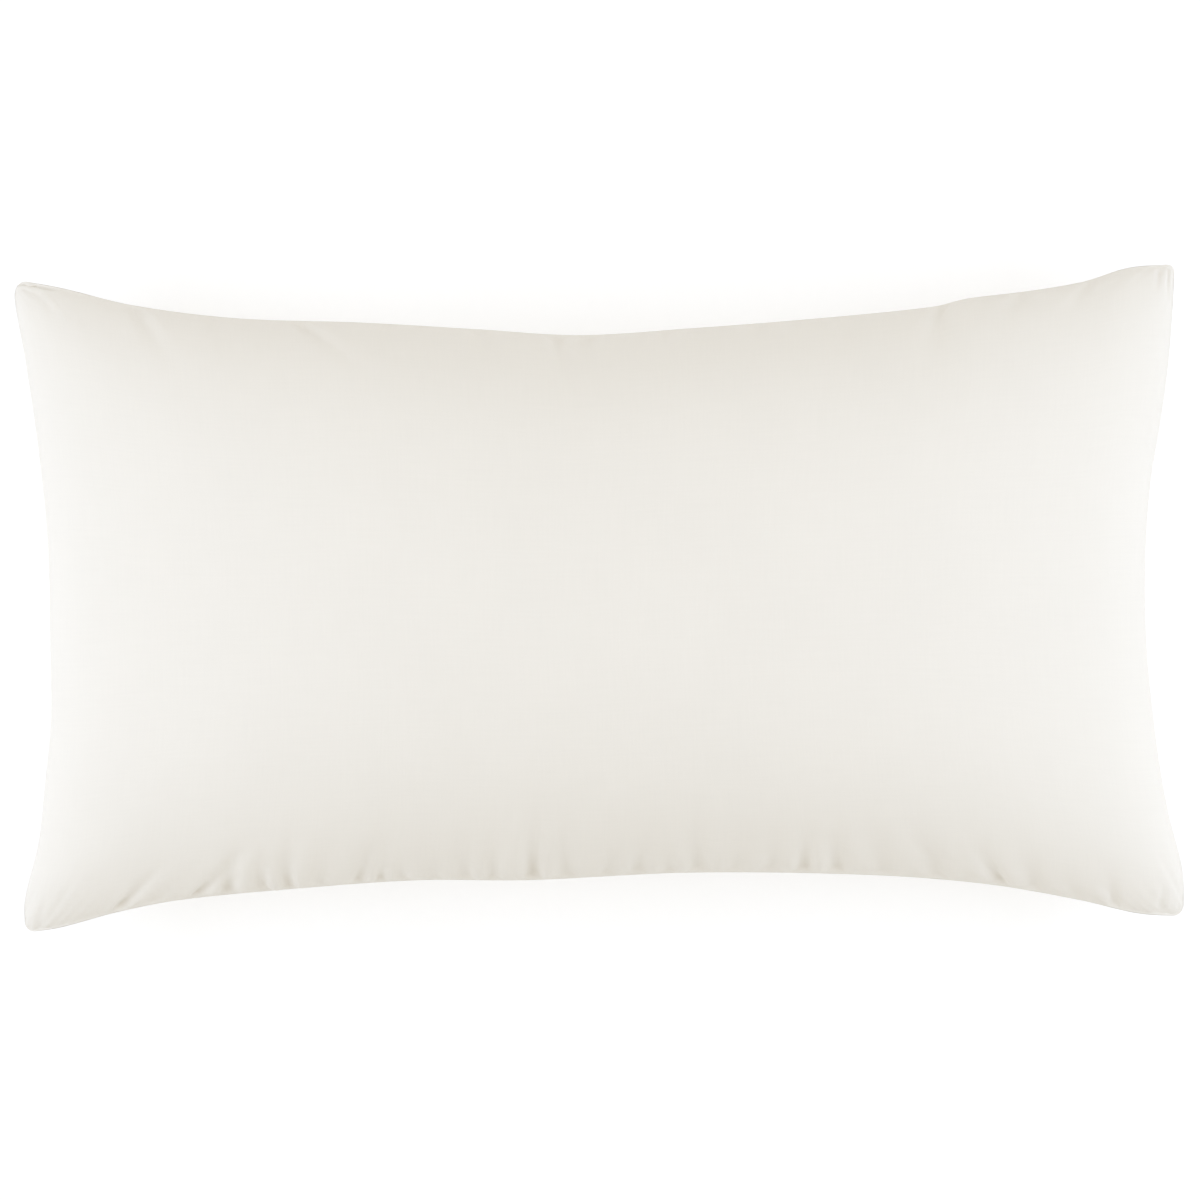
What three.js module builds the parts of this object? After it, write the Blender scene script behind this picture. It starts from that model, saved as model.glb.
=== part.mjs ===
// A plain pillow sham on its insert: one filled, knife-edge cushion lying on its back.
//
// Millimetres, +Z up. +X runs along the length, +Y points to the top seam and the front panel faces up.
// The origin is on the surface that the sham lies on, under the middle of its box.
//
// Two equal panels are joined along four seams. The filling crowns both panels, and the crown draws the
// seams in between the corners. The weight presses a flat patch into the middle of the back panel.

import * as THREE from 'three';
import { mergeGeometries, mergeVertices } from 'three/addons/utils/BufferGeometryUtils.js';

// ---- Driving sizes ----

const LENGTH = 896; // corner to corner along a long seam
const WIDTH = 504; // corner to corner along a short seam

const SEAM_HEIGHT = 88; // the seam above the surface, midway along a side
const CORNER_DROOP = 20; // how far below that the corners hang

// How far each panel bulges from the seam, in its middle. With the two sections below, the panel then
// measures 914 from end to end and 508 across, the size that it was cut to.
const CROWN = 109;

// The bulge falls off as (1 - |s| ^ fullness) ^ sharpness, where s runs from -1 at one seam to 1 at
// the other.
const ALONG = { fullness: 3, sharpness: 0.6 };
const ACROSS = { fullness: 2.5, sharpness: 0.65 };

const PRESS_SOFTNESS = 10; // how gently the back panel rounds up from its flat patch

// How far each seam is drawn in from the straight line between its corners.
// at: share of the line, from the left or the bottom corner; pull: millimetres inward.
const TOP_SEAM = [
  { at: 0.04, pull: 7 },
  { at: 0.1, pull: 21 },
  { at: 0.19, pull: 32.5 },
  { at: 0.3, pull: 37.5 },
  { at: 0.4, pull: 44 },
  { at: 0.485, pull: 49.5 },
  { at: 0.58, pull: 45.5 },
  { at: 0.69, pull: 39 },
  { at: 0.79, pull: 31 },
  { at: 0.82, pull: 25 },
  { at: 0.87, pull: 20 },
  { at: 0.92, pull: 13 },
  { at: 0.96, pull: 2.5 },
];
const BOTTOM_SEAM = [
  { at: 0.03, pull: 3.5 },
  { at: 0.08, pull: 15 },
  { at: 0.135, pull: 24 },
  { at: 0.24, pull: 32 },
  { at: 0.34, pull: 37 },
  { at: 0.435, pull: 36 },
  { at: 0.575, pull: 40 },
  { at: 0.73, pull: 36 },
  { at: 0.83, pull: 27.5 },
  { at: 0.91, pull: 14 },
  { at: 0.96, pull: 3 },
];
const LEFT_SEAM = [
  { at: 0.05, pull: 0.5 },
  { at: 0.14, pull: 12.5 },
  { at: 0.23, pull: 18.5 },
  { at: 0.325, pull: 24 },
  { at: 0.42, pull: 24.5 },
  { at: 0.6, pull: 23.5 },
  { at: 0.74, pull: 17 },
  { at: 0.88, pull: 7 },
  { at: 0.97, pull: -1 },
];
const RIGHT_SEAM = [
  { at: 0.07, pull: 1 },
  { at: 0.16, pull: 12 },
  { at: 0.255, pull: 20 },
  { at: 0.39, pull: 27 },
  { at: 0.485, pull: 28.5 },
  { at: 0.58, pull: 27 },
  { at: 0.67, pull: 22.5 },
  { at: 0.76, pull: 14 },
  { at: 0.85, pull: 7 },
  { at: 0.945, pull: 2 },
];

// Radius of each corner's rounded tip.
const TIP = { topLeft: 9, topRight: 6, bottomLeft: 8, bottomRight: 9 };

// ---- Mesh ----

const COLUMNS = 60; // cells from the left seam to the right seam
const ROWS = 34; // cells from the bottom seam to the top seam
const EDGE_CROWDING = 0.7; // 0 spaces the cells evenly, 1 crowds them fully towards the seams
const WELD = 1e-4; // the two panels' seam points coincide within this

// ---- Seams in plan ----

// A smooth curve through the rows of a seam, with 0 at both corners.
function pullAt(seam, share) {
  const rows = [{ at: 0, pull: 0 }, ...seam, { at: 1, pull: 0 }];
  const last = rows.length - 1;
  const slope = (i) => {
    const before = rows[Math.max(i - 1, 0)];
    const after = rows[Math.min(i + 1, last)];
    return (after.pull - before.pull) / (after.at - before.at);
  };
  const i = Math.min(rows.findLastIndex((row) => row.at <= share), last - 1);
  const span = rows[i + 1].at - rows[i].at;
  const t = (share - rows[i].at) / span;
  const rise = t * t * (3 - 2 * t);
  const leave = t * (1 - t) * (1 - t) * span * slope(i);
  const arrive = t * t * (1 - t) * span * slope(i + 1);
  return rows[i].pull + (rows[i + 1].pull - rows[i].pull) * rise + leave - arrive;
}

// How far a rounded tip of this radius stays inside a square corner, at a distance from the corner.
function tipInset(distance, radius) {
  const inside = Math.max(radius - distance, 0);
  return radius - Math.sqrt(radius * radius - inside * inside);
}

// A point of a seam: how far along the straight line between its corners, and how far inward from it.
// share runs from 0 at the middle of the first tip to 1 at the middle of the last one.
function seamPoint(seam, length, firstTip, lastTip, share) {
  const midTip = 1 - Math.SQRT1_2;
  const start = firstTip * midTip;
  const end = length - lastTip * midTip;
  const along = start + (end - start) * share;
  const inward = pullAt(seam, along / length) + tipInset(along, firstTip) + tipInset(length - along, lastTip);
  return { along: along - length / 2, inward };
}

function topPoint(share) {
  const { along, inward } = seamPoint(TOP_SEAM, LENGTH, TIP.topLeft, TIP.topRight, share);
  return new THREE.Vector2(along, WIDTH / 2 - inward);
}

function bottomPoint(share) {
  const { along, inward } = seamPoint(BOTTOM_SEAM, LENGTH, TIP.bottomLeft, TIP.bottomRight, share);
  return new THREE.Vector2(along, inward - WIDTH / 2);
}

function leftPoint(share) {
  const { along, inward } = seamPoint(LEFT_SEAM, WIDTH, TIP.bottomLeft, TIP.topLeft, share);
  return new THREE.Vector2(inward - LENGTH / 2, along);
}

function rightPoint(share) {
  const { along, inward } = seamPoint(RIGHT_SEAM, WIDTH, TIP.bottomRight, TIP.topRight, share);
  return new THREE.Vector2(LENGTH / 2 - inward, along);
}

// The four seams span a panel in plan: u and v run from 0 to 1, left to right and bottom to top.
function planPoint(u, v) {
  const between = new THREE.Vector2()
    .addScaledVector(bottomPoint(u), 1 - v)
    .addScaledVector(topPoint(u), v)
    .addScaledVector(leftPoint(v), 1 - u)
    .addScaledVector(rightPoint(v), u);
  return between
    .addScaledVector(bottomPoint(0), (u - 1) * (1 - v))
    .addScaledVector(bottomPoint(1), -u * (1 - v))
    .addScaledVector(topPoint(0), (u - 1) * v)
    .addScaledVector(topPoint(1), -u * v);
}

// ---- Heights ----

// s and t run from -1 to 1 between the seams.
function seamLevel(s, t) {
  return SEAM_HEIGHT - CORNER_DROOP * (s * t) ** 2;
}

function section(s, { fullness, sharpness }) {
  return Math.max(1 - Math.abs(s) ** fullness, 0) ** sharpness;
}

function bulge(s, t) {
  return CROWN * section(s, ALONG) * section(t, ACROSS);
}

function frontHeight(s, t) {
  return seamLevel(s, t) + bulge(s, t);
}

// The back panel hangs below the seam, and rounds into the surface where it would pass through it.
function backHeight(s, t) {
  const free = seamLevel(s, t) - bulge(s, t);
  if (free > PRESS_SOFTNESS) return free;
  return Math.max(free + PRESS_SOFTNESS, 0) ** 2 / (4 * PRESS_SOFTNESS);
}

// ---- Panels ----

function crowdTowardsSeams(s) {
  return (1 - EDGE_CROWDING) * s + EDGE_CROWDING * Math.sin((Math.PI / 2) * s);
}

// Two triangles a cell. The cut between them points to the nearest corner, so that no triangle lies
// with all three points on the seam.
function panelTriangles(facesUp) {
  const triangles = [];
  for (let row = 0; row < ROWS; row += 1) {
    for (let column = 0; column < COLUMNS; column += 1) {
      const a = row * (COLUMNS + 1) + column;
      const b = a + COLUMNS + 1;
      const c = b + 1;
      const d = a + 1;
      const cutFromA = row < ROWS / 2 === column < COLUMNS / 2;
      const cell = cutFromA ? [a, b, c, a, c, d] : [a, b, d, b, c, d];
      triangles.push(...(facesUp ? cell : cell.reverse()));
    }
  }
  return triangles;
}

function panel(height, facesUp) {
  const geometry = new THREE.PlaneGeometry(2, 2, COLUMNS, ROWS);
  const position = geometry.attributes.position;
  for (let i = 0; i < position.count; i += 1) {
    const s = crowdTowardsSeams(position.getX(i));
    const t = crowdTowardsSeams(position.getY(i));
    const { x, y } = planPoint((s + 1) / 2, (t + 1) / 2);
    position.setXYZ(i, x, y, height(s, t));
  }
  geometry.setIndex(panelTriangles(facesUp));
  geometry.deleteAttribute('normal');
  geometry.deleteAttribute('uv');
  return geometry;
}

// The two panels as one closed body, with the middle of its box over the origin.
function filledSham() {
  const panels = mergeGeometries([panel(frontHeight, true), panel(backHeight, false)]);
  const geometry = mergeVertices(panels, WELD);
  geometry.computeBoundingBox();
  const { x, y } = geometry.boundingBox.getCenter(new THREE.Vector3());
  geometry.translate(-x, -y, 0);
  geometry.computeVertexNormals();
  return geometry;
}

// ---- Object ----

const ivoryCotton = new THREE.MeshStandardMaterial({ color: 0xf1ece1, roughness: 0.85, metalness: 0 });

const sham = new THREE.Mesh(filledSham(), ivoryCotton);
sham.name = 'sham';

const pillowSham = new THREE.Group();
pillowSham.add(sham);

export default pillowSham;
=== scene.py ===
"""A plain ivory pillow sham on its insert, lying on its back on a pale floor.

The sham is built as it is sewn. Two equal panels are cut flat, joined along four drawn-in seams and
filled: Blender's Cloth blows them up from inside, against the floor, with their seams held in place.
The cloth that the drawn-in seams have to spare gathers in small puckers at the places named here.
All sizes are in metres, in the CAD model's frame.
"""

import math

import bpy
import numpy as np
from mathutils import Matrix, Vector


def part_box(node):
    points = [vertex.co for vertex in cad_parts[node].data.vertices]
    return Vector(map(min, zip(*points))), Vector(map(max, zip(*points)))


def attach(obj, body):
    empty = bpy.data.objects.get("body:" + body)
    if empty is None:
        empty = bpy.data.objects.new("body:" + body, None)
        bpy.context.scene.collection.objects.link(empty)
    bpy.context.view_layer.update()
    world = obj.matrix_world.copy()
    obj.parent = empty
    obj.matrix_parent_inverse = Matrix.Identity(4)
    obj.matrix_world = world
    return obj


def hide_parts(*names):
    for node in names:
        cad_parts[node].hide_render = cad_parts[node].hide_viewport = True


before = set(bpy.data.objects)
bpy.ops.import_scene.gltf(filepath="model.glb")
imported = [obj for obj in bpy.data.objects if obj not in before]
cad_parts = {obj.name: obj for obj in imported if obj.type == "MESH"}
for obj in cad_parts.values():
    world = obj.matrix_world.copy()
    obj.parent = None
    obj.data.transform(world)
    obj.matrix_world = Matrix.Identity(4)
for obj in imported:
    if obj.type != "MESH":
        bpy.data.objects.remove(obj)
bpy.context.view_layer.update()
cad_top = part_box("sham")[1].z

MM = 0.001

# ---- Sizes, as in the CAD source ----

LENGTH = 0.896  # corner to corner along a long seam
WIDTH = 0.504  # corner to corner along a short seam
MIDDLE_LENGTH = LENGTH - 0.052  # along the middle, between the drawn-in short seams
MIDDLE_WIDTH = WIDTH - 0.087  # across the middle, between the drawn-in long seams
CUT_LENGTH = 0.914  # each panel, cut flat
CUT_WIDTH = 0.508
SEAM_HEIGHT = 0.088  # the seam above the floor, midway along a side
CORNER_DROOP = 0.020  # how far below that the corners hang
CROWN = cad_top - SEAM_HEIGHT  # how far each panel bulges from the seam, in its middle
ALONG = {"fullness": 3.0, "sharpness": 0.6}  # the bulge falls off as (1 - |s| ** fullness) ** sharpness
ACROSS = {"fullness": 2.5, "sharpness": 0.65}
PRESS_SOFTNESS = 0.010  # how gently the back panel rounds up from its flat patch

# How far each seam is drawn in from the straight line between its corners:
# (share of the line from the left or the bottom corner, millimetres inward).
TOP_SEAM = (
    (0, 0), (0.04, 7), (0.1, 21), (0.19, 32.5), (0.3, 37.5), (0.4, 44), (0.485, 49.5), (0.58, 45.5),
    (0.69, 39), (0.79, 31), (0.82, 25), (0.87, 20), (0.92, 13), (0.96, 2.5), (1, 0),
)
BOTTOM_SEAM = (
    (0, 0), (0.03, 3.5), (0.08, 15), (0.135, 24), (0.24, 32), (0.34, 37), (0.435, 36), (0.575, 40),
    (0.73, 36), (0.83, 27.5), (0.91, 14), (0.96, 3), (1, 0),
)
LEFT_SEAM = (
    (0, 0), (0.05, 0.5), (0.14, 12.5), (0.23, 18.5), (0.325, 24), (0.42, 24.5), (0.6, 23.5),
    (0.74, 17), (0.88, 7), (0.97, -1), (1, 0),
)
RIGHT_SEAM = (
    (0, 0), (0.07, 1), (0.16, 12), (0.255, 20), (0.39, 27), (0.485, 28.5), (0.58, 27), (0.67, 22.5),
    (0.76, 14), (0.85, 7), (0.945, 2), (1, 0),
)
TIP = {"top_left": 0.009, "top_right": 0.006, "bottom_left": 0.008, "bottom_right": 0.009}

# ---- Cloth ----

# Puckers of the front panel along its long seams, in millimetres but for the share along the seam:
# (share from the left corner, half width, reach inward, depth, sideways lean per millimetre inward).
BOTTOM_PUCKERS = (
    (0.077, 4.5, 36, 3.2, 0.7),
    (0.110, 4.0, 22, 1.4, 0.6),
    (0.145, 4.5, 40, 3.2, 0.6),
    (0.175, 5.0, 48, 3.4, 0.15),
    (0.207, 5.0, 52, 2.8, 0.0),
    (0.229, 4.5, 50, 3.4, 0.0),
    (0.256, 5.5, 42, 1.8, 0.1),
    (0.288, 5.0, 52, 3.4, 0.2),
    (0.307, 4.5, 46, 3.4, 0.1),
    (0.328, 5.5, 46, 2.2, -0.1),
    (0.355, 5.0, 34, 1.4, 0.0),
    (0.382, 6.0, 54, 2.2, 0.0),
    (0.405, 5.0, 52, 2.6, 0.0),
    (0.440, 5.5, 70, 4.2, 0.0),
    (0.470, 7.0, 60, 2.8, -0.1),
    (0.502, 6.0, 52, 2.2, 0.15),
    (0.528, 7.0, 62, 3.0, 0.1),
    (0.558, 5.5, 46, 2.2, -0.1),
    (0.583, 7.0, 64, 3.0, -0.1),
    (0.612, 6.0, 42, 1.8, 0.1),
    (0.642, 6.0, 44, 2.0, 0.1),
    (0.672, 5.0, 52, 3.4, 0.0),
    (0.702, 5.5, 50, 3.2, -0.1),
    (0.743, 6.0, 50, 2.0, -0.2),
    (0.790, 6.5, 52, 2.4, -0.3),
    (0.845, 5.0, 38, 3.8, -0.4),
    (0.873, 6.0, 40, 2.4, -0.2),
    (0.910, 4.5, 24, 1.2, -0.4),
    (0.942, 4.0, 32, 2.4, -0.2),
)
TOP_PUCKERS = (
    (0.101, 5.5, 50, 1.8, 0.4),
    (0.170, 5.5, 36, 1.0, 0.3),
    (0.239, 5.0, 50, 1.8, 0.7),
    (0.320, 6.0, 38, 1.2, 0.1),
    (0.400, 5.5, 40, 1.3, 0.0),
    (0.466, 5.5, 64, 2.4, 0.1),
    (0.495, 6.0, 52, 1.8, -0.1),
    (0.560, 5.5, 44, 1.3, 0.0),
    (0.640, 6.0, 42, 1.2, -0.1),
    (0.720, 5.5, 42, 1.1, -0.2),
    (0.800, 5.0, 48, 2.4, -0.2),
    (0.870, 5.5, 38, 1.2, -0.4),
    (0.930, 4.5, 30, 1.3, -0.5),
)

# Single creases of the front panel, in millimetres from a corner (inward along x, inward along y):
# (corner in x and in y, start, end, half width, depth).
CREASES = (
    (-1, 1, (6, 6), (52, 6), 3.0, 2.4),
    (-1, 1, (16, 14), (40, 26), 4.0, 0.7),
    (1, 1, (15, 9), (14, 48), 3.0, 1.3),
    (1, 1, (26, 8), (30, 40), 3.5, 0.9),
    (1, -1, (36, 3), (33, 46), 4.5, 1.3),
    (1, -1, (14, 6), (12, 28), 3.5, 0.4),
    (-1, -1, (22, 4), (34, 44), 5.0, 0.9),
    (-1, -1, (10, 6), (14, 26), 3.5, 0.4),
    (1, -1, (238, 60), (212, 26), 3.0, 0.35),
    (1, -1, (222, 58), (199, 28), 3.0, 0.3),
    (1, -1, (205, 55), (188, 30), 3.0, 0.3),
)
PUCKER_RISE = 0.004  # the seam itself stays straight, and the puckers deepen over this distance
PUCKER_FLARE = 0.5  # by what share of its width a pucker widens over its reach
SHOULDER = 0.6  # the more, the higher the cloth stands beside a pucker
CREASE_FADE = 0.7  # below 1, a crease stays deep for longer and ends more suddenly

# The other puckers lie at random, one in each stretch of their seam, with sizes in millimetres as above.
PLACE_IN_STRETCH = (0.1, 0.9)
HALF_WIDTHS = (3.5, 6.5)
LEANS = (-0.3, 0.3)
HIDDEN_PUCKERS = {"spacing": 26, "depths": (0.8, 3.0), "reaches": (28, 56)}  # on the back panel
FINE_LONG_PUCKERS = {"spacing": 14, "depths": (0.05, 0.4), "reaches": (10, 24)}  # on the long seams
FINE_SHORT_PUCKERS = {"spacing": 34, "depths": (0.1, 0.4), "reaches": (14, 30)}  # on the short ones
HIDDEN_SEED = 7
FINE_SEED = 11  # for the fine puckers and the lumps

LIP_WIDTH = 0.0035  # the cloth is lowest this far from the edge of the seam
LIP_DEPTH = 0.0005
LUMPS = 90  # low mounds and hollows of the filling
LUMP_SIZES = (0.03, 0.07)
LUMP_DEPTH = 0.0012

SLACK = 1.012  # the panels are this much longer than their cut, which feeds the puckers
LAID_IN = 0.5  # how much of each pucker is laid in before the cloth is filled
STOP_LEVEL = -0.0017  # the filled cloth keeps a small distance from this plane, and so ends on the floor
STOP_DISTANCE = 0.001
FRAMES = 18

# Cells of the simulated cloth and of the finished one. crowding, of the columns and of the rows:
# 0 spaces them evenly, 1 crowds them fully towards the seams.
CLOTH_COLUMNS = 190
CLOTH_ROWS = 60
CLOTH_CROWDING = (0, 0.6)
FINE_COLUMNS = 490
FINE_ROWS = 100
FINE_CROWDING = (0.25, 0.7)
UV_SPAN = 1.03  # metres of cloth to the unit
CUT_GAP = 0.01  # between the two flat cuts, where they are laid out


def curve_weights(places, wanted):
    """The matrix that takes values at places to those of a smooth curve through them at wanted."""
    count = len(places)
    slopes = np.zeros((count, count))
    for i in range(count):
        before, after = max(i - 1, 0), min(i + 1, count - 1)
        run = places[after] - places[before]
        slopes[i, after] += 1 / run
        slopes[i, before] -= 1 / run
    i = np.clip(np.searchsorted(places, wanted, side="right") - 1, 0, count - 2)
    span = places[i + 1] - places[i]
    x = (wanted - places[i]) / span
    rise = x * x * (3 - 2 * x)
    weights = (x * (1 - x) ** 2 * span)[:, None] * slopes[i]
    weights -= (x * x * (1 - x) * span)[:, None] * slopes[i + 1]
    each = np.arange(len(wanted))
    weights[each, i] += 1 - rise
    weights[each, i + 1] += rise
    return weights


# ---- Seams in plan ----


def tip_inset(distance, radius):
    """How far a rounded tip stays inside a square corner, at a distance from the corner."""
    inside = np.maximum(radius - distance, 0)
    return radius - np.sqrt(radius**2 - inside**2)


def seam(rows, length, first_tip, last_tip, share):
    """Along and inward, for shares from the middle of the first tip to the middle of the last one."""
    mid_tip = 1 - math.sqrt(0.5)
    along = first_tip * mid_tip + (length - (first_tip + last_tip) * mid_tip) * share
    at, pull = np.array(rows, float).T
    inward = curve_weights(at, along / length) @ pull * MM
    inward += tip_inset(along, first_tip) + tip_inset(length - along, last_tip)
    return along - length / 2, inward


def top_points(share):
    along, inward = seam(TOP_SEAM, LENGTH, TIP["top_left"], TIP["top_right"], share)
    return np.stack([along, WIDTH / 2 - inward], -1)


def bottom_points(share):
    along, inward = seam(BOTTOM_SEAM, LENGTH, TIP["bottom_left"], TIP["bottom_right"], share)
    return np.stack([along, inward - WIDTH / 2], -1)


def left_points(share):
    along, inward = seam(LEFT_SEAM, WIDTH, TIP["bottom_left"], TIP["top_left"], share)
    return np.stack([inward - LENGTH / 2, along], -1)


def right_points(share):
    along, inward = seam(RIGHT_SEAM, WIDTH, TIP["bottom_right"], TIP["top_right"], share)
    return np.stack([LENGTH / 2 - inward, along], -1)


def middle_of_box():
    share = np.linspace(0, 1, 2001)
    seams = (top_points, bottom_points, left_points, right_points)
    outline = np.concatenate([points(share) for points in seams])
    return (outline.min(0) + outline.max(0)) / 2


def plan_points(u, v):
    """A panel in plan, spanned by its four seams. u and v run from 0 to 1; rows are v, columns u."""
    bottom, top, left, right = bottom_points(u), top_points(u), left_points(v), right_points(v)
    u, v = u[None, :, None], v[:, None, None]
    between = (1 - v) * bottom[None] + v * top[None] + (1 - u) * left[:, None] + u * right[:, None]
    corners = (1 - v) * ((1 - u) * bottom[0] + u * bottom[-1]) + v * ((1 - u) * top[0] + u * top[-1])
    return between - corners - middle_of_box()


# ---- Panels ----


def section(s, profile):
    return np.maximum(1 - np.abs(s) ** profile["fullness"], 0) ** profile["sharpness"]


def drape(half_span, profile):
    """Places from -1 to 1 across a panel, in plan and on the cloth that crosses it in its middle."""
    in_plan = np.sin(np.linspace(-math.pi / 2, math.pi / 2, 4001))
    steps = np.hypot(np.diff(half_span * in_plan), np.diff(CROWN * section(in_plan, profile)))
    arc = np.concatenate([[0], np.cumsum(steps)])
    return in_plan, 2 * arc / arc[-1] - 1


ALONG_DRAPE = drape(MIDDLE_LENGTH / 2, ALONG)
ACROSS_DRAPE = drape(MIDDLE_WIDTH / 2, ACROSS)


def crowded(cells, crowding):
    """Places from -1 to 1, closer together towards both ends."""
    even = np.linspace(-1, 1, cells + 1)
    return (1 - crowding) * even + crowding * np.sin(math.pi / 2 * even)


def panels(cloth_x, cloth_y):
    """The front and the back panel's points, (rows, columns, 3), for places on the flat cloth."""
    s = np.interp(cloth_x, *reversed(ALONG_DRAPE))
    t = np.interp(cloth_y, *reversed(ACROSS_DRAPE))
    plan = plan_points((s + 1) / 2, (t + 1) / 2)
    level = SEAM_HEIGHT - CORNER_DROOP * np.outer(t, s) ** 2
    bulge = CROWN * np.outer(section(t, ACROSS), section(s, ALONG))
    hanging = level - bulge
    pressed = np.maximum(hanging + PRESS_SOFTNESS, 0) ** 2 / (4 * PRESS_SOFTNESS)
    resting = np.where(hanging > PRESS_SOFTNESS, hanging, pressed)
    front = np.concatenate([plan, (level + bulge)[..., None]], -1)
    back = np.concatenate([plan, resting[..., None]], -1)
    return front, back


def outward(panel, side):
    """Unit normals of a panel; side is 1 for the front and -1 for the back."""
    normal = np.cross(np.gradient(panel, axis=1), np.gradient(panel, axis=0))
    return side * normal / np.maximum(np.linalg.norm(normal, axis=-1, keepdims=True), 1e-12)


def numbering(rows, columns):
    """Vertex numbers of both panels, which share those on the seams, and the seams' own mask."""
    on_seam = np.zeros((rows + 1, columns + 1), bool)
    on_seam[[0, -1]] = True
    on_seam[:, [0, -1]] = True
    front = np.arange(on_seam.size).reshape(on_seam.shape)
    back = front.copy()
    back[~on_seam] = on_seam.size + np.arange((~on_seam).sum())
    return front, back, on_seam


def quads(numbers, faces_up):
    corners = [numbers[:-1, :-1], numbers[:-1, 1:], numbers[1:, 1:], numbers[1:, :-1]]
    found = np.stack([c.ravel() for c in corners], 1)
    return found if faces_up else found[:, ::-1]


def sewn(name, front, back):
    """One closed mesh object of both panels, joined along the seams."""
    rows, columns = front.shape[0] - 1, front.shape[1] - 1
    front_numbers, back_numbers, on_seam = numbering(rows, columns)
    points = np.concatenate([front.reshape(-1, 3), back[~on_seam]])
    faces = np.concatenate([quads(front_numbers, True), quads(back_numbers, False)])
    mesh = bpy.data.meshes.new(name)
    mesh.from_pydata(points.tolist(), [], faces.tolist())
    mesh.polygons.foreach_set("use_smooth", np.ones(len(faces), bool))
    piece = bpy.data.objects.new(name, mesh)
    bpy.context.scene.collection.objects.link(piece)
    return piece


def lay_out(piece, cloth_x, cloth_y):
    """Maps each panel's flat cut, one above the other, at UV_SPAN to the unit."""
    flat = np.zeros((len(cloth_y), len(cloth_x), 2))
    flat[..., 0] = (1 + cloth_x[None, :]) * CUT_LENGTH / 2
    flat[..., 1] = (1 + cloth_y[:, None]) * CUT_WIDTH / 2
    numbers = np.arange(flat[..., 0].size).reshape(flat.shape[:2])
    front = flat.reshape(-1, 2)[quads(numbers, True)]
    back = flat.reshape(-1, 2)[quads(numbers, False)] + (0, CUT_WIDTH + CUT_GAP)
    layer = piece.data.uv_layers.new(name="cut")
    layer.data.foreach_set("uv", (np.concatenate([front, back]) / UV_SPAN).ravel())


# ---- Puckers ----


def dimple(across):
    """The section of a pucker: 1 deep in its middle, with a low shoulder on either side."""
    return (1 - SHOULDER * across**2) * np.exp(-(across**2) / 2)


def gathers(along, inward, rows, seam_drape, length):
    """How deep the puckers of one seam are, at places on the cloth along it and inward from it."""
    depth = np.zeros(np.broadcast(along, inward).shape)
    in_plan, on_cloth = seam_drape
    for share, half_width, reach, deep, lean in rows:
        start = np.interp(2 * share - 1, in_plan, on_cloth) * length / 2
        middle = start + lean * inward
        spread = half_width * MM * (1 + PUCKER_FLARE * inward / (reach * MM))
        fade = (1 - np.exp(-inward / PUCKER_RISE)) * np.exp(-((inward / (reach * MM)) ** 2))
        depth += deep * MM * fade * dimple((along - middle) / spread)
    return depth


def uneven_puckers(chance, length, spacing, depths, reaches):
    """Rows of puckers for a seam, one in each stretch about this long."""
    count = round(length / (spacing * MM))
    return [
        (
            (place + chance.uniform(*PLACE_IN_STRETCH)) / count,
            chance.uniform(*HALF_WIDTHS),
            chance.uniform(*reaches),
            chance.uniform(*depths),
            chance.uniform(*LEANS),
        )
        for place in range(count)
    ]


def seam_puckers(cloth_x, cloth_y, bottom, top, left=(), right=()):
    """How deep a panel's puckers are, over its cloth, from the rows of its four seams."""
    x, y = cloth_x[None, :] * CUT_LENGTH / 2, cloth_y[:, None] * CUT_WIDTH / 2
    long_seam = (ALONG_DRAPE, CUT_LENGTH)
    short_seam = (ACROSS_DRAPE, CUT_WIDTH)
    depth = gathers(x, CUT_WIDTH / 2 + y, bottom, *long_seam)
    depth += gathers(x, CUT_WIDTH / 2 - y, top, *long_seam)
    depth += gathers(y, CUT_LENGTH / 2 + x, left, *short_seam)
    depth += gathers(y, CUT_LENGTH / 2 - x, right, *short_seam)
    return depth


def hidden_puckers():
    """The back panel's rows, for its bottom and its top seam."""
    chance = np.random.default_rng(HIDDEN_SEED)
    return [uneven_puckers(chance, CUT_LENGTH, **HIDDEN_PUCKERS) for _ in range(2)]


HIDDEN_BOTTOM, HIDDEN_TOP = hidden_puckers()

# ---- Filling ----


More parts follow.
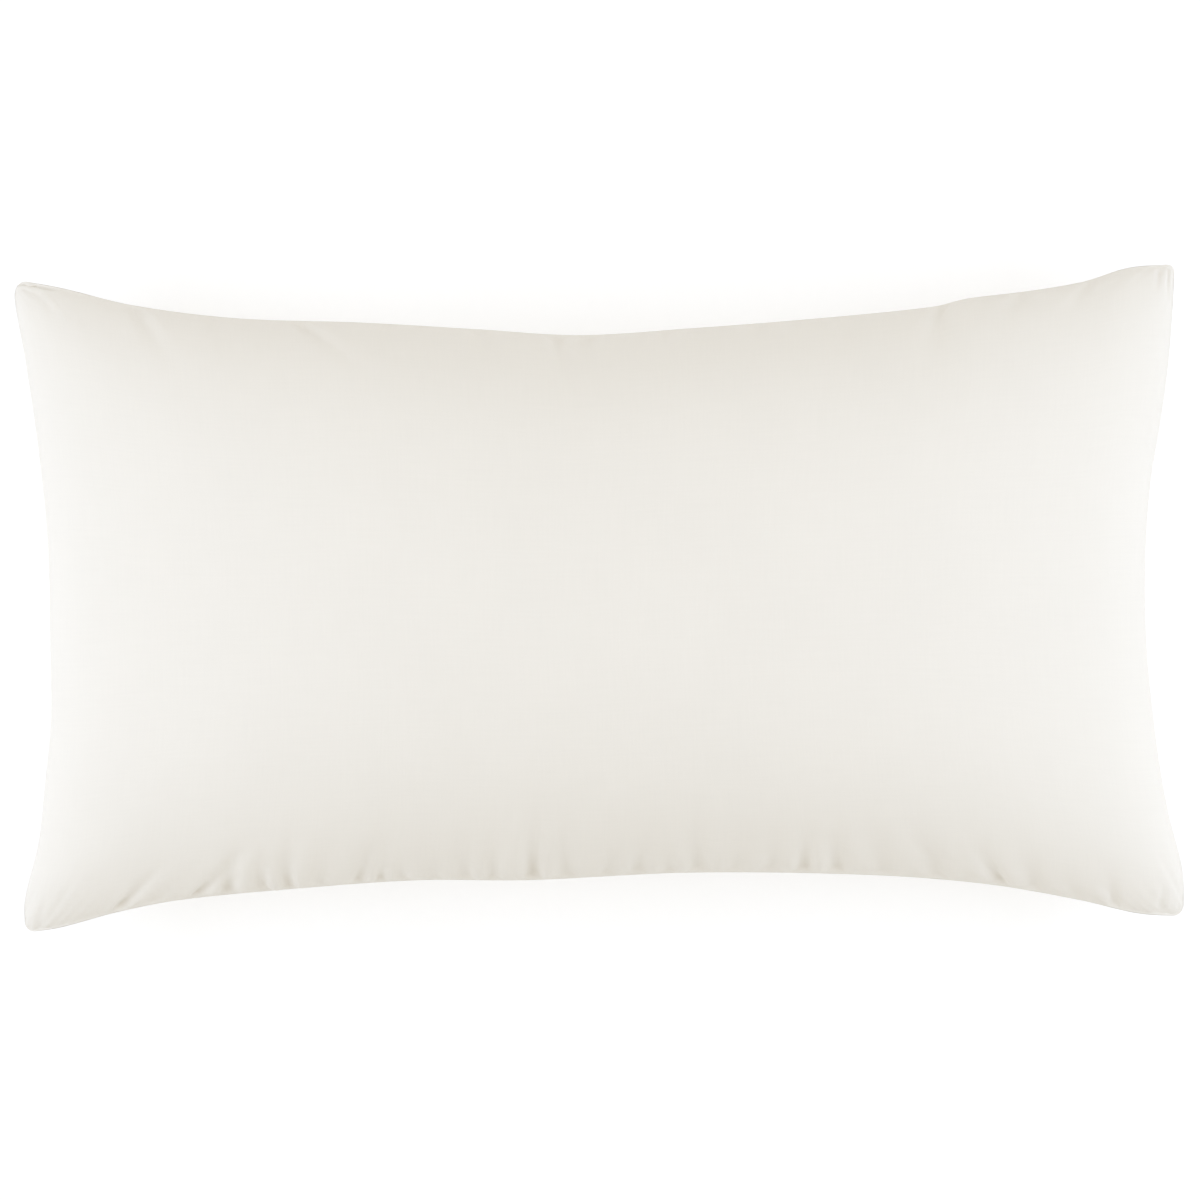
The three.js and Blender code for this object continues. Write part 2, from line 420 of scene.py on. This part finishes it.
def filled(cloth_x, cloth_y, front, back):
    """The same points once the cloth is blown up from inside, on the floor, with its seams held."""
    rows, columns = len(cloth_y) - 1, len(cloth_x) - 1
    front_numbers, back_numbers, on_seam = numbering(rows, columns)
    seen = seam_puckers(cloth_x, cloth_y, BOTTOM_PUCKERS, TOP_PUCKERS)
    hidden = seam_puckers(cloth_x, cloth_y, HIDDEN_BOTTOM, HIDDEN_TOP)
    laid_front = front - LAID_IN * seen[..., None] * outward(front, 1)
    laid_back = back - LAID_IN * hidden[..., None] * outward(back, -1)
    piece = sewn("filling_cloth", laid_front, laid_back)

    flat = np.zeros((rows + 1, columns + 1, 3))
    flat[..., 0] = cloth_x[None, :] * CUT_LENGTH / 2 * SLACK
    flat[..., 1] = cloth_y[:, None] * CUT_WIDTH / 2
    piece.shape_key_add(name="filled")
    cut = piece.shape_key_add(name="cut")
    cut.data.foreach_set("co", np.concatenate([flat.reshape(-1, 3), flat[~on_seam]]).ravel())
    held = piece.vertex_groups.new(name="seams")
    held.add(front_numbers[on_seam].tolist(), 1.0, "REPLACE")

    cloth = piece.modifiers.new("Cloth", "CLOTH")
    cloth.point_cache.frame_end = FRAMES
    cloth.settings.quality = 6
    cloth.settings.mass = 0.2
    cloth.settings.tension_stiffness = 40
    cloth.settings.compression_stiffness = 40
    cloth.settings.shear_stiffness = 2
    cloth.settings.bending_stiffness = 0.02
    cloth.settings.use_pressure = True
    cloth.settings.uniform_pressure_force = 4
    cloth.settings.effector_weights.gravity = 0
    cloth.settings.vertex_group_mass = held.name
    cloth.settings.pin_stiffness = 50
    cloth.settings.rest_shape_key = cut
    cloth.collision_settings.use_collision = True
    cloth.collision_settings.distance_min = STOP_DISTANCE

    bpy.ops.mesh.primitive_plane_add(size=3 * LENGTH, location=(0, 0, STOP_LEVEL))
    stop = bpy.context.object
    stop.modifiers.new("Collision", "COLLISION")
    stop.collision.thickness_outer = STOP_DISTANCE

    for step in range(1, FRAMES + 1):
        bpy.context.scene.frame_set(step)
    blown = piece.evaluated_get(bpy.context.evaluated_depsgraph_get()).data
    points = np.empty(len(blown.vertices) * 3)
    blown.vertices.foreach_get("co", points)
    points = points.reshape(-1, 3)
    for done in (piece, stop):
        bpy.data.objects.remove(done)
    bpy.context.scene.frame_set(1)
    return points[front_numbers], points[back_numbers]


# ---- Seam detail ----


def lip(inward):
    """How far the cloth sinks beside the stiff seam allowance, which stands out as a thin edge."""
    step = inward / LIP_WIDTH
    return LIP_DEPTH * step * np.exp(1 - step)


def creases(cloth_x, cloth_y, rows):
    """How deep the single creases are, over the cloth of a panel."""
    x, y = cloth_x[None, :] * CUT_LENGTH / 2, cloth_y[:, None] * CUT_WIDTH / 2
    depth = np.zeros((len(cloth_y), len(cloth_x)))
    for side_x, side_y, start, end, half_width, deep in rows:
        inward = np.broadcast_arrays(CUT_LENGTH / 2 - side_x * x, CUT_WIDTH / 2 - side_y * y)
        from_corner = np.stack(inward, -1)
        start, end = np.array(start) * MM, np.array(end) * MM
        run = end - start
        length = math.hypot(*run)
        away = from_corner - start
        along = (away @ run) / length**2
        across = (away[..., 0] * run[1] - away[..., 1] * run[0]) / length
        fade = np.clip(4 * along * (1 - along), 0, 1) ** CREASE_FADE
        depth += deep * MM * fade * dimple(across / (half_width * MM))
    return depth


def unevenness(cloth_x, cloth_y, chance):
    """How the filling lies a little unevenly under a panel."""
    x, y = cloth_x[None, :] * CUT_LENGTH / 2, cloth_y[:, None] * CUT_WIDTH / 2
    depth = np.zeros((len(cloth_y), len(cloth_x)))
    for _ in range(LUMPS):
        at_x = chance.uniform(-0.5, 0.5) * CUT_LENGTH
        at_y = chance.uniform(-0.5, 0.5) * CUT_WIDTH
        size = chance.uniform(*LUMP_SIZES)
        away = ((x - at_x) ** 2 + (y - at_y) ** 2) / (2 * size**2)
        depth += chance.uniform(-1, 1) * LUMP_DEPTH * np.exp(-away)
    return depth


def detailed(panel, side, cloth_x, cloth_y, sunk):
    """A panel with all this sunk into it, beside the lip along its seams."""
    inward = np.minimum(
        (1 - np.abs(cloth_x))[None, :] * CUT_LENGTH / 2, (1 - np.abs(cloth_y))[:, None] * CUT_WIDTH / 2
    )
    held = 1 - np.exp(-((inward / PUCKER_RISE) ** 2))
    depth = lip(inward) + held * sunk
    return panel - depth[..., None] * outward(panel, side)


# ---- Sham ----


def sham_piece():
    cloth_x, cloth_y = crowded(CLOTH_COLUMNS, CLOTH_CROWDING[0]), crowded(CLOTH_ROWS, CLOTH_CROWDING[1])
    fine_x, fine_y = crowded(FINE_COLUMNS, FINE_CROWDING[0]), crowded(FINE_ROWS, FINE_CROWDING[1])
    front, back = panels(fine_x, fine_y)
    coarse = panels(cloth_x, cloth_y)
    to_rows, to_columns = curve_weights(cloth_y, fine_y), curve_weights(cloth_x, fine_x)
    moved = [
        np.einsum("ri,ijk,cj->rck", to_rows, after - before, to_columns, optimize=True)
        for before, after in zip(coarse, filled(cloth_x, cloth_y, *coarse), strict=True)
    ]
    front, back = front + moved[0], back + moved[1]

    chance = np.random.default_rng(FINE_SEED)
    for_long = [uneven_puckers(chance, CUT_LENGTH, **FINE_LONG_PUCKERS) for _ in range(4)]
    for_short = [uneven_puckers(chance, CUT_WIDTH, **FINE_SHORT_PUCKERS) for _ in range(4)]
    seen = seam_puckers(
        fine_x,
        fine_y,
        [*BOTTOM_PUCKERS, *for_long[0]],
        [*TOP_PUCKERS, *for_long[1]],
        *for_short[:2],
    )
    seen += creases(fine_x, fine_y, CREASES) + unevenness(fine_x, fine_y, chance)
    hidden = seam_puckers(
        fine_x,
        fine_y,
        [*HIDDEN_BOTTOM, *for_long[2]],
        [*HIDDEN_TOP, *for_long[3]],
        *for_short[2:],
    )
    front = detailed(front, 1, fine_x, fine_y, seen)
    back = detailed(back, -1, fine_x, fine_y, hidden)
    piece = sewn("sham_cloth", front, back)
    lay_out(piece, fine_x, fine_y)
    return piece


# ---- Cotton ----

IVORY = (0.87, 0.84, 0.78)
THREAD_PITCH = {"X": 0.00032, "Y": 0.00036}  # warp threads stand side by side along x, weft along y
THREAD_RELIEF = 0.00006
STREAK_RELIEF = 0.00008

# How many streaks to UV_SPAN of cloth, along x and along y.
WARP_STREAKS = (700, 28, 1)
WEFT_STREAKS = (24, 620, 1)
CLOUDS = (14, 11, 1)

TONE_LEVELS = (0.987, 1.01)  # the ivory's darkest and lightest tone
ROUGHNESS = (0.72, 0.88)


def math_node(tree, operation, first, second=None):
    """A Math node on two inputs, each a socket or a number, and its output."""
    node = tree.nodes.new("ShaderNodeMath")
    node.operation = operation
    for socket, value in zip(node.inputs, (first, second), strict=False):
        if isinstance(value, bpy.types.NodeSocket):
            tree.links.new(value, socket)
        elif value is not None:
            socket.default_value = value
    return node.outputs[0]


def streaks(tree, cut, stretch, detail):
    """Noise drawn out along the threads: thicker and thinner yarn, packed closer or less close."""
    mapping = tree.nodes.new("ShaderNodeMapping")
    mapping.inputs["Scale"].default_value = stretch
    tree.links.new(cut, mapping.inputs["Vector"])
    noise = tree.nodes.new("ShaderNodeTexNoise")
    noise.inputs["Scale"].default_value = 1
    noise.inputs["Detail"].default_value = detail
    tree.links.new(mapping.outputs["Vector"], noise.inputs["Vector"])
    return noise.outputs["Fac"]


def bump(tree, height, distance, strength, below=None):
    node = tree.nodes.new("ShaderNodeBump")
    node.inputs["Distance"].default_value = distance
    node.inputs["Strength"].default_value = strength
    tree.links.new(height, node.inputs["Height"])
    if below is not None:
        tree.links.new(below, node.inputs["Normal"])
    return node.outputs["Normal"]


def ivory_cotton():
    """Fine plain-woven cotton: crossing threads, a little uneven, with a faint soft sheen."""
    material = bpy.data.materials.new("ivory_cotton")
    material.use_nodes = True
    tree = material.node_tree
    shader = tree.nodes["Principled BSDF"]
    uv = tree.nodes.new("ShaderNodeUVMap")
    uv.uv_map = "cut"
    cut = uv.outputs["UV"]
    split = tree.nodes.new("ShaderNodeSeparateXYZ")
    tree.links.new(cut, split.inputs[0])

    threads = [
        math_node(tree, "SINE", math_node(tree, "MULTIPLY", split.outputs[axis], math.pi * UV_SPAN / pitch))
        for axis, pitch in THREAD_PITCH.items()
    ]
    weave = math_node(tree, "ABSOLUTE", math_node(tree, "MULTIPLY", *threads))
    warp = streaks(tree, cut, WARP_STREAKS, 3)
    weft = streaks(tree, cut, WEFT_STREAKS, 3)
    yarn = math_node(tree, "ADD", warp, weft)
    cloudy = streaks(tree, cut, CLOUDS, 2)

    tone = math_node(tree, "MULTIPLY", math_node(tree, "ADD", yarn, cloudy), 1 / 3)
    colour = tree.nodes.new("ShaderNodeValToRGB")
    for stop, place, level in zip(colour.color_ramp.elements, (0.35, 0.65), TONE_LEVELS, strict=True):
        stop.position = place
        stop.color = (*(level * channel for channel in IVORY), 1)
    tree.links.new(tone, colour.inputs["Fac"])
    tree.links.new(colour.outputs["Color"], shader.inputs["Base Color"])

    rough = tree.nodes.new("ShaderNodeMapRange")
    rough.inputs["To Min"].default_value = ROUGHNESS[0]
    rough.inputs["To Max"].default_value = ROUGHNESS[1]
    tree.links.new(tone, rough.inputs["Value"])
    tree.links.new(rough.outputs["Result"], shader.inputs["Roughness"])

    uneven = bump(tree, yarn, STREAK_RELIEF, 0.5)
    tree.links.new(bump(tree, weave, THREAD_RELIEF, 0.6, uneven), shader.inputs["Normal"])
    shader.inputs["Specular IOR Level"].default_value = 0.3
    shader.inputs["Sheen Weight"].default_value = 0.06
    shader.inputs["Sheen Roughness"].default_value = 0.5
    return material


sham = sham_piece()
sham.data.materials.append(ivory_cotton())
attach(sham, "root")
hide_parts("sham")

# ---- Stage ----

FLOOR_GREY = 0.6
FLOOR_GLOW = 0.44  # a white sweep is lit from below too, so that shadows stay faint
# The room is a warm white overhead and beyond the short sides, and darker beyond the long ones.
SKY = {"south": (0.43, 0.40, 0.33), "overhead": (0.92, 0.867, 0.77), "north": (0.53, 0.50, 0.44)}
SOFTBOX_LIGHT = (0.65, 0.77, 1.0)
SOFTBOX_DEPTH = 0.8
SOFTBOXES = (
    {"name": "left", "place": (-1.25, -0.04, 1.0), "width": 1.7, "watts": 10.6},
    {"name": "right", "place": (1.25, -0.04, 1.0), "width": 1.7, "watts": 10.6},
    {"name": "top", "place": (0, 1.6, 0.9), "width": 2.0, "watts": 0.8},
)
AIMED_AT = (0, 0, 0.1)  # the middle of the sham


def floor():
    bpy.ops.mesh.primitive_plane_add(size=12, location=(0, 0, -0.0005))
    plane = bpy.context.object
    plane.name = "floor"
    material = bpy.data.materials.new("floor")
    material.use_nodes = True
    shader = material.node_tree.nodes["Principled BSDF"]
    shader.inputs["Base Color"].default_value = (FLOOR_GREY, FLOOR_GREY, FLOOR_GREY, 1)
    shader.inputs["Roughness"].default_value = 0.95
    shader.inputs["Specular IOR Level"].default_value = 0
    shader.inputs["Emission Color"].default_value = (1, 1, 1, 1)
    shader.inputs["Emission Strength"].default_value = FLOOR_GLOW
    plane.data.materials.append(material)


def softbox(name, place, width, watts):
    light = bpy.data.lights.new(name, "AREA")
    light.shape = "RECTANGLE"
    light.size = width
    light.size_y = SOFTBOX_DEPTH
    light.energy = watts
    light.color = SOFTBOX_LIGHT
    lamp = bpy.data.objects.new(name, light)
    bpy.context.scene.collection.objects.link(lamp)
    lamp.location = place
    lamp.rotation_euler = (Vector(AIMED_AT) - lamp.location).to_track_quat("-Z", "Y").to_euler()


def sky():
    world = bpy.data.worlds.new("sky")
    world.use_nodes = True
    tree = world.node_tree
    direction = tree.nodes.new("ShaderNodeTexCoord")
    split = tree.nodes.new("ShaderNodeSeparateXYZ")
    tree.links.new(direction.outputs["Generated"], split.inputs[0])
    colour = tree.nodes.new("ShaderNodeValToRGB")
    colour.color_ramp.elements.new(0.5)
    for stop, place, shade in zip(colour.color_ramp.elements, (0, 0.5, 1), SKY.values(), strict=True):
        stop.position = place
        stop.color = (*shade, 1)
    northward = tree.nodes.new("ShaderNodeMapRange")
    northward.inputs["From Min"].default_value = -1
    tree.links.new(split.outputs["Y"], northward.inputs["Value"])
    tree.links.new(northward.outputs["Result"], colour.inputs["Fac"])
    tree.links.new(colour.outputs["Color"], tree.nodes["Background"].inputs["Color"])
    bpy.context.scene.world = world


floor()
sky()
for box in SOFTBOXES:
    softbox(**box)
bpy.context.scene.view_settings.view_transform = "Standard"

# ---- Camera ----

CAMERA_HEIGHT = 4.5
CAMERA_PLAN = (0.0006, -0.0015)  # straight over the middle of the sham, but for a millimetre or two
CAMERA_ROLL = -0.8  # degrees
VIEW_WIDTH = 0.928  # what the picture spans at the height of the corners
SENSOR = 36  # millimetres

camera_data = bpy.data.cameras.new("camera")
camera_data.sensor_width = SENSOR
camera_data.lens = SENSOR * (CAMERA_HEIGHT - SEAM_HEIGHT + CORNER_DROOP) / VIEW_WIDTH
camera = bpy.data.objects.new("camera", camera_data)
camera.location = (*CAMERA_PLAN, CAMERA_HEIGHT)
camera.rotation_euler = (0, 0, math.radians(CAMERA_ROLL))
bpy.context.scene.collection.objects.link(camera)
bpy.context.scene.camera = camera
